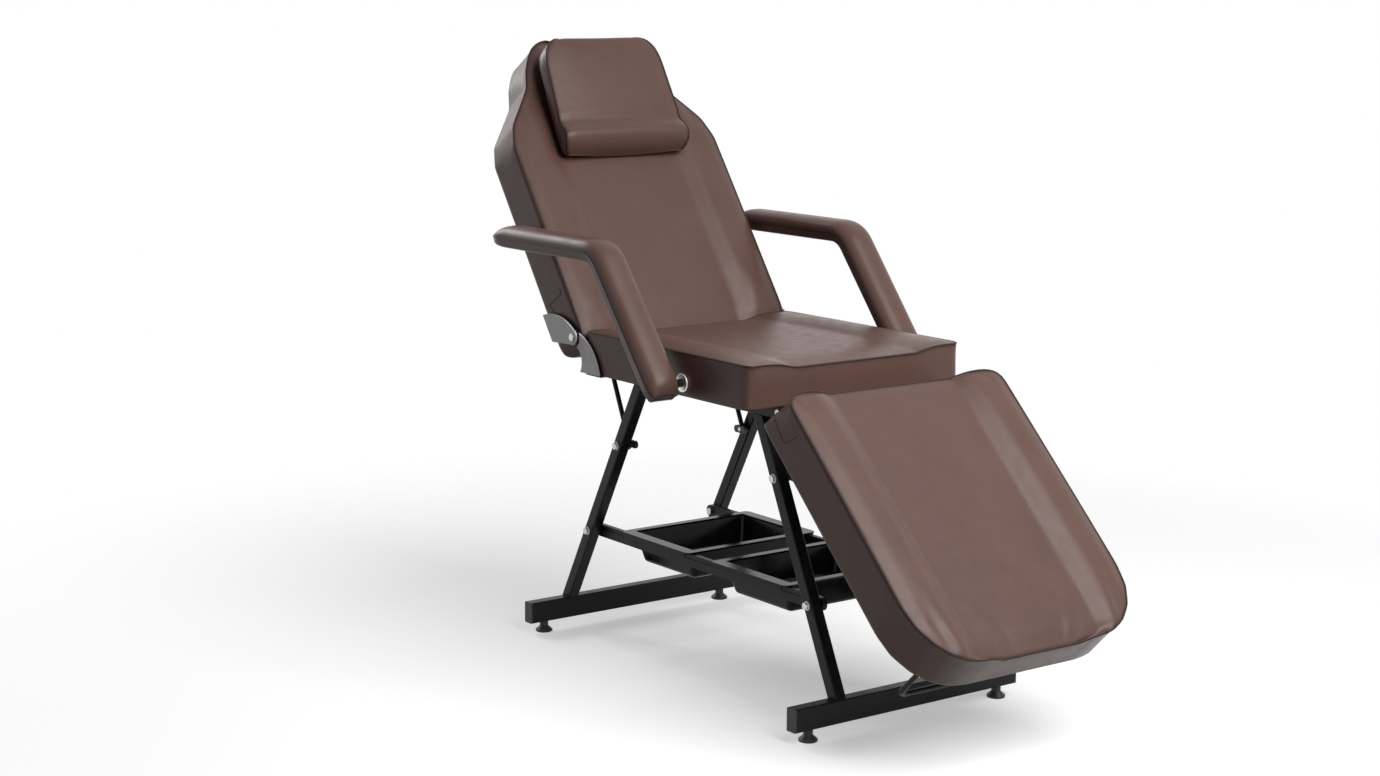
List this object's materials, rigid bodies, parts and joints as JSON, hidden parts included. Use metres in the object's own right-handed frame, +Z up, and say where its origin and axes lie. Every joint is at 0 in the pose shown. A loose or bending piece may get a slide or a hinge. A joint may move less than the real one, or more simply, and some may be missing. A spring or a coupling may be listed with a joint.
{
  "type": "massage table",
  "caption": "Padded salon massage table with a reclining backrest, hinged legrest, swing-up armrests, sliding pillow and lift-out trays on a slanted steel-tube base.",
  "frame": {"origin": "on the floor, under the middle of the table's bounding box", "axes": "+Z up, +Y from the feet towards the head, +X towards the left hand of a person who sits on it"},
  "size_m": [0.702, 1.5306, 1.2538],
  "materials": {
    "upholstery": "satin",
    "plywood": "matte",
    "strap_fabric": "matte",
    "black_steel": "satin",
    "zinc_steel": "satin",
    "bright_steel": "polished",
    "tray_plastic": "gloss",
    "black_plastic": "matte",
    "grey_plastic": "satin"
  },
  "bodies": {
    "base": {"back_hinge_bracket_left": "black_steel", "back_hinge_bracket_right": "black_steel", "brace_bolts": "zinc_steel", "brace_front_left": "black_steel", "brace_front_right": "black_steel", "brace_rear_left": "black_steel", "brace_rear_right": "black_steel", "floor_bar_caps": "black_plastic", "floor_bar_front": "black_steel", "floor_bar_rear": "black_steel", "frame_cross_tube_front": "black_steel", "frame_cross_tube_rear": "black_steel", "frame_side_tube_left": "black_steel", "frame_side_tube_right": "black_steel", "frame_tube_caps": "black_plastic", "leg_front_left": "black_steel", "leg_front_right": "black_steel", "leg_rear_left": "black_steel", "leg_rear_right": "black_steel", "seat_board": "plywood", "seat_cushion": "upholstery", "seat_hinge_cover_left": "grey_plastic", "seat_hinge_cover_right": "grey_plastic", "tray_rail_left": "black_steel", "tray_rail_right": "black_steel", "foot_nuts": "zinc_steel", "rail_bolts": "zinc_steel", "hex_nuts": "zinc_steel", "wing_nuts": "black_plastic", "legrest_pivot_bolts": "zinc_steel", "armrest_sockets": "bright_steel"},
    "backrest": {"backrest_cushion": "upholstery", "backrest_board": "plywood", "back_hinge_rivets": "zinc_steel", "back_hinge_arm_left": "black_steel", "back_hinge_arm_right": "black_steel", "back_hinge_cover_left": "grey_plastic", "back_hinge_cover_right": "grey_plastic"},
    "pillow": {"pillow": "upholstery", "pillow_strap": "strap_fabric"},
    "legrest": {"legrest_cushion": "upholstery", "legrest_board": "plywood", "legrest_arm_left": "black_steel", "legrest_arm_right": "black_steel", "legrest_bail": "black_steel"},
    "armrest_left": {"armrest_core_left": "black_steel", "armrest_pad_left": "upholstery"},
    "armrest_right": {"armrest_core_right": "black_steel", "armrest_pad_right": "upholstery"},
    "tray_front": {"tray_front": "tray_plastic"},
    "tray_rear": {"tray_rear": "tray_plastic"},
    "foot_front_left": {"foot_front_left": "black_plastic"},
    "foot_front_right": {"foot_front_right": "black_plastic"},
    "foot_rear_left": {"foot_rear_left": "black_plastic"},
    "foot_rear_right": {"foot_rear_right": "black_plastic"}
  },
  "joints": [
    {"name": "backrest_recline", "type": "hinge", "parent": "base", "child": "backrest", "pos_m": [0, 0.31, 0.657], "axis": [1, 0, 0], "range_deg": [-55, 15]},
    {"name": "legrest_tilt", "type": "hinge", "parent": "base", "child": "legrest", "pos_m": [0, -0.271, 0.5765], "axis": [1, 0, 0], "range_deg": [-45, 12]},
    {"name": "pillow_slide", "type": "slide", "parent": "backrest", "child": "pillow", "axis": [0, 0.5736, 0.8192], "range_m": [0, 0.06]},
    {"name": "armrest_left_swing", "type": "hinge", "parent": "base", "child": "armrest_left", "pos_m": [0.314, -0.056, 0.615], "axis": [1, 0, 0], "range_deg": [0, 80]},
    {"name": "armrest_right_swing", "type": "hinge", "parent": "base", "child": "armrest_right", "pos_m": [-0.314, -0.056, 0.615], "axis": [1, 0, 0], "range_deg": [0, 80]},
    {"name": "tray_front_lift", "type": "slide", "parent": "base", "child": "tray_front", "axis": [0, 0, 1], "range_m": [0, 0.1]},
    {"name": "tray_rear_lift", "type": "slide", "parent": "base", "child": "tray_rear", "axis": [0, 0, 1], "range_m": [0, 0.1]},
    {"name": "foot_front_left_screw", "type": "slide", "parent": "base", "child": "foot_front_left", "axis": [0, 0, -1], "range_m": [0, 0.012]},
    {"name": "foot_front_right_screw", "type": "slide", "parent": "base", "child": "foot_front_right", "axis": [0, 0, -1], "range_m": [0, 0.012]},
    {"name": "foot_rear_left_screw", "type": "slide", "parent": "base", "child": "foot_rear_left", "axis": [0, 0, -1], "range_m": [0, 0.012]},
    {"name": "foot_rear_right_screw", "type": "slide", "parent": "base", "child": "foot_rear_right", "axis": [0, 0, -1], "range_m": [0, 0.012]}
  ]
}
